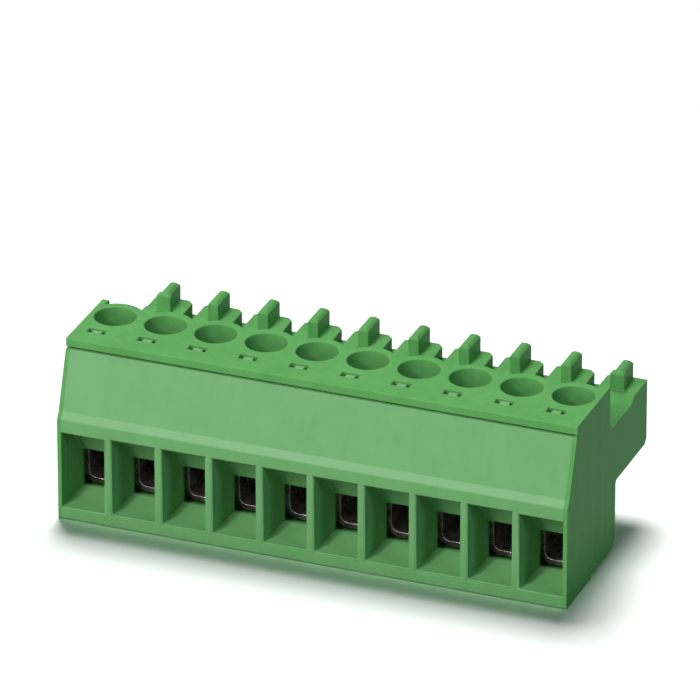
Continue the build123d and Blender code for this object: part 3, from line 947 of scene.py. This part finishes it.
@dataclass
class SpringContact:
    """Contact: a bent bar under the screw and two spring leaves that grip the header pin.

    Attributes:
        node: CAD node that it stands for.
        pole: Number of its pole.
        strip: Thickness of the bar.
        riser_gap: Gap between the cage and the riser.
        bar_width: Width of the bar along the row.
        bend: Length that a bend takes from each side of its corner.
        root_length: Length of the leaves' straight root.
        mouth_length: Length over which the leaves open at their mouth.
        leaf_thickness: Thickness of a leaf.
        leaf_height: Height of the leaves over the bar.
        root_half: Distance from the pole's middle to a leaf at its root.
        pinch_half: The same where the leaves are closest.
        mouth_half: The same at the mouth.
        edge_round: Width of the rounds.
        segments: Faces across a round.
    """

    node: str
    pole: int
    strip: float = 0.4 * MM
    riser_gap: float = 0.12 * MM
    bar_width: float = 1.8 * MM
    bend: float = 0.3 * MM
    root_length: float = 1.5 * MM
    mouth_length: float = 0.9 * MM
    leaf_thickness: float = 0.25 * MM
    leaf_height: float = 1.7 * MM
    root_half: float = 0.8 * MM
    pinch_half: float = 0.3 * MM
    mouth_half: float = 0.62 * MM
    edge_round: float = 0.04 * MM
    segments: int = 2

    def leaf_path(self, root: float, start: float, end: float, steps: int = 28) -> np.ndarray:
        """Middle line of a leaf in plan, as depth and distance from the pole's middle.

        The leaf runs straight at its root. It closes to the pinch by three times the share
        squared less twice the share cubed, and opens to its mouth by the share squared.

        Args:
            root: Depth at which the leaf begins.
            start: Depth at which the straight root ends.
            end: Depth of the mouth.
            steps: Points along the leaf.

        Returns:
            Points of shape (steps, 2).
        """
        depth = np.linspace(root, end, steps)
        closing = np.clip((depth - start) / (end - self.mouth_length - start), 0.0, 1.0)
        opening = np.clip((depth - end + self.mouth_length) / self.mouth_length, 0.0, 1.0)
        ease_in = closing**2 * (3 - 2 * closing)
        half = self.root_half + (self.pinch_half - self.root_half) * ease_in
        half += (self.mouth_half - self.pinch_half) * opening**2
        return np.stack([depth, half], axis=1)

    def build(self) -> bpy.types.Object:
        """Makes the contact from one bent strip and two leaves.

        Returns:
            The piece.
        """
        low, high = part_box(self.node)
        middle = (low.x + high.x) / 2
        half_strip = self.strip / 2
        leaf_floor = high.z - self.leaf_height - self.strip
        riser = self.riser_depth()
        corners = np.array(
            [
                (low.y, low.z + half_strip),
                (riser, low.z + half_strip),
                (riser, leaf_floor + half_strip),
                (riser + half_strip + self.root_length, leaf_floor + half_strip),
            ]
        )
        half_bar = self.bar_width / 2
        bar_path = rounded_path(corners, self.bend)
        bar = strip_rings(bar_path, self.strip, middle - half_bar, middle + half_bar)[..., [2, 0, 1]]
        ends = [[0, 1, 2, 3]]
        meshes = [tube_mesh("bar", bar, ends, ends)]
        root = riser + half_strip
        leaf = self.leaf_path(root, root + self.root_length, high.y)
        for side in (-1.0, 1.0):
            path = leaf * (1.0, side) + (0.0, middle)
            rings = strip_rings(path, self.leaf_thickness, leaf_floor, high.z)[..., [1, 0, 2]]
            meshes.append(tube_mesh("leaf", rings, ends, ends))
        shape = bmesh.new()
        for part in meshes:
            shape.from_mesh(part)
            bpy.data.meshes.remove(part)
        mesh = bpy.data.meshes.new(self.node + "_sprung")
        shape.to_mesh(mesh)
        shape.free()
        piece = new_piece(mesh.name, mesh, Slot.CONTACT, "block", self.node)
        add_rounding(piece, self.edge_round, self.segments, weighted=False)
        return piece

    def riser_depth(self) -> float:
        """Middle of the riser, which stands behind the cage."""
        _, cage_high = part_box(f"clamp_cage_{self.pole:02d}")
        return cage_high.y + self.riser_gap + self.strip / 2


@dataclass(frozen=True)
class Softbox:
    """Square soft light, placed by its angles round the block and aimed at it.

    Attributes:
        name: Name of the light.
        azimuth: Degrees round the block.
        elevation: Degrees over the floor.
        size: Width and height.
        level: Brightness of a white surface that faces the light.
        colour: Colour of the light.
    """

    name: str
    azimuth: float
    elevation: float
    size: float
    level: float
    colour: Colour = (1.0, 1.0, 1.0)


OVERHEAD = Softbox("overhead_softbox", -158, 68, 0.17, 0.6)
FLAGGED = (
    Softbox("front_softbox", -36, 7, 0.3, 0.42),
    Softbox("high_front_softbox", -12, 48, 0.16, 0.43),
    Softbox("bevel_glint", -23, 34, 0.06, 0.32),
    Softbox("side_softbox", 66, 28, 0.08, 0.17, (0.6, 0.95, 1.0)),
)


@dataclass(frozen=True)
class Studio:
    """Floor, lights, world and camera.

    Attributes:
        azimuth: Degrees of the camera round the block.
        elevation: Degrees of the camera over the floor.
        distance: Distance of the camera from its target.
        frame_pixels: Width of the frame in pixels.
        focal_pixels: Focal length in the same pixels.
        target_right: How far the target lies right of the foot of the wire face.
        target_up: How far it lies above that foot, in the picture's upward direction.
        sensor: Width of the sensor in millimetres.
        nearest_seen: Start of the camera's range.
        farthest_seen: End of the camera's range.
        lamp_distance: Distance of every light from the block's foot.
        floor_half: Half the width of the floor.
        even_light: Colour of the light from all round.
        even_strength: Strength of that light.
        paper_colour: Colour with which the floor lights the block.
        seen_colour: Colour in which the floor is seen.
        seen_glow: Strength of the glow that is added to it.
        white: Colour of the background and of that glow.
    """

    azimuth: float = 21.30
    elevation: float = 26.36
    distance: float = 637.9 * MM
    frame_pixels: int = 700
    focal_pixels: float = 9141.0
    target_right: float = 2.80 * MM
    target_up: float = 14.88 * MM
    sensor: float = 36.0
    nearest_seen: float = 0.01
    farthest_seen: float = 10.0
    lamp_distance: float = 0.5
    floor_half: float = 0.06
    even_light: OpaqueColour = (0.82, 0.98, 1.0, 1.0)
    even_strength: float = 0.06
    paper_colour: OpaqueColour = (0.75, 0.75, 0.75, 1.0)
    seen_colour: OpaqueColour = (1.9, 1.9, 1.9, 1.0)
    seen_glow: float = 0.01
    white: OpaqueColour = (1.0, 1.0, 1.0, 1.0)

    @staticmethod
    def towards(azimuth: float, elevation: float) -> Vector:
        """Direction from the block to a place round it.

        Args:
            azimuth: Degrees round the block, 0 on the wire side and positive towards +X.
            elevation: Degrees over the floor.

        Returns:
            The unit vector.
        """
        turn, rise = math.radians(azimuth), math.radians(elevation)
        return Vector((math.sin(turn) * math.cos(rise), -math.cos(turn) * math.cos(rise), math.sin(rise)))

    def place(self, name: str, data: bpy.types.ID, place: Vector, back: Vector) -> bpy.types.Object:
        """Puts a camera or a lamp into the scene.

        Args:
            name: Name of the object.
            data: Camera or lamp data.
            place: Its place.
            back: Direction it looks away from.

        Returns:
            The object.
        """
        item = bpy.data.objects.new(name, data)
        bpy.context.scene.collection.objects.link(item)
        item.location = place
        item.rotation_mode = "QUATERNION"
        item.rotation_quaternion = (-back).to_track_quat("-Z", "Y")
        return item

    def camera(self) -> None:
        """Camera at the photograph's viewing angle, aimed beside the foot of the wire face."""
        back = self.towards(self.azimuth, self.elevation)
        turn = math.radians(self.azimuth)
        right = Vector((math.cos(turn), math.sin(turn), 0.0))
        up = back.cross(right)
        low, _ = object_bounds()
        target = Vector((0.0, low.y, 0.0)) + right * self.target_right + up * self.target_up
        data = bpy.data.cameras.new("camera")
        data.sensor_width = self.sensor
        data.lens = self.focal_pixels / self.frame_pixels * self.sensor
        data.clip_start, data.clip_end = self.nearest_seen, self.farthest_seen
        bpy.context.scene.camera = self.place("camera", data, target + back * self.distance, back)

    def softbox(self, box: Softbox) -> bpy.types.Object:
        """Puts up a softbox.

        The lamp's power is the level times the square of pi and of the distance.

        Args:
            box: The softbox.

        Returns:
            The light.
        """
        back = self.towards(box.azimuth, box.elevation)
        data = bpy.data.lights.new(box.name, "AREA")
        data.shape = "SQUARE"
        data.size = box.size
        data.energy = box.level * (math.pi * self.lamp_distance) ** 2
        data.color = box.colour
        return self.place(box.name, data, back * self.lamp_distance, back)

    def lights(self, floor: bpy.types.Object) -> None:
        """Overhead softbox behind the block, and front and side softboxes flagged off the floor.

        Args:
            floor: Floor, which the front and side lights leave out.
        """
        self.softbox(OVERHEAD)
        off_the_floor = bpy.data.collections.new("off_the_floor")
        off_the_floor.objects.link(floor)
        off_the_floor.collection_objects[0].light_linking.link_state = "EXCLUDE"
        for box in FLAGGED:
            self.softbox(box).light_linking.receiver_collection = off_the_floor

    def seen_directly(self, graph: Graph) -> bpy.types.NodeSocket:
        """Mask of the rays that show the background: camera, glossy and transmission rays.

        Args:
            graph: Graph of the world or of the floor's material.

        Returns:
            A socket that is 1 for such rays and 0 for others.
        """
        path = graph.add("ShaderNodeLightPath")
        some = graph.math("MAXIMUM", path.outputs["Is Camera Ray"], path.outputs["Is Glossy Ray"])
        return graph.math("MAXIMUM", some, path.outputs["Is Transmission Ray"])

    def world(self) -> None:
        """White background and a weak even light from all round."""
        world = bpy.data.worlds.new("studio")
        bpy.context.scene.world = world
        world.use_nodes = True
        graph = Graph(world.node_tree)
        world.node_tree.nodes.clear()
        even = graph.add("ShaderNodeBackground", Color=self.even_light, Strength=self.even_strength)
        white = graph.add("ShaderNodeBackground", Color=self.white, Strength=1.0)
        mix = graph.add("ShaderNodeMixShader")
        out = graph.add("ShaderNodeOutputWorld")
        graph.join(self.seen_directly(graph), mix.inputs[0])
        graph.join(even.outputs[0], mix.inputs[1])
        graph.join(white.outputs[0], mix.inputs[2])
        graph.join(mix.outputs[0], out.inputs["Surface"])

    def floor(self) -> bpy.types.Object:
        """White floor that keeps the block's shadow.

        Seen directly its colour is so bright that the lit part is as white as the
        background; for all other rays it is plain pale paper.

        Returns:
            The floor.
        """
        half = self.floor_half
        mesh = bpy.data.meshes.new("floor")
        corners = [(-half, -half, 0.0), (half, -half, 0.0), (half, half, 0.0), (-half, half, 0.0)]
        mesh.from_pydata(corners, [], [(0, 1, 2, 3)])
        floor = bpy.data.objects.new("floor", mesh)
        bpy.context.scene.collection.objects.link(floor)
        material = bpy.data.materials.new("floor_paper")
        material.use_nodes = True
        graph = Graph(material.node_tree)
        material.node_tree.nodes.clear()
        paper = graph.add("ShaderNodeBsdfDiffuse", Color=self.paper_colour)
        white = graph.add("ShaderNodeBsdfDiffuse", Color=self.seen_colour)
        glow = graph.add("ShaderNodeEmission", Color=self.white, Strength=self.seen_glow)
        both = graph.add("ShaderNodeAddShader")
        mix = graph.add("ShaderNodeMixShader")
        out = graph.add("ShaderNodeOutputMaterial")
        graph.join(white.outputs[0], both.inputs[0])
        graph.join(glow.outputs[0], both.inputs[1])
        graph.join(self.seen_directly(graph), mix.inputs[0])
        graph.join(paper.outputs[0], mix.inputs[1])
        graph.join(both.outputs[0], mix.inputs[2])
        graph.join(mix.outputs[0], out.inputs["Surface"])
        mesh.materials.append(material)
        floor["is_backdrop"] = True
        return floor

    def build(self) -> None:
        """Sets up the whole studio."""
        bpy.context.scene.view_settings.view_transform = "Standard"
        self.camera()
        self.world()
        self.lights(self.floor())


def main() -> None:
    """Builds the studio and the block's pieces in order."""
    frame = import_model()
    nodes = frame["nodes"]
    build_moulded_skin()
    build_plated_skin()
    Studio().build()
    Housing("housing", "block", Slot.HOUSING).build(nodes)
    Cover("front_cover", "block", Slot.COVER).build(nodes)
    for pole, name in enumerate(pole_nodes("clamp_cage"), start=1):
        ClampCage(name, f"cage_{pole:02d}", Slot.CAGE).build(nodes)
    for pole, name in enumerate(pole_nodes("clamp_screw"), start=1):
        ClampScrew(name, pole).build()
    for pole, name in enumerate(pole_nodes("contact"), start=1):
        SpringContact(name, pole).build()


if __name__ == "__main__":
    logging.basicConfig(level=logging.INFO)
    main()
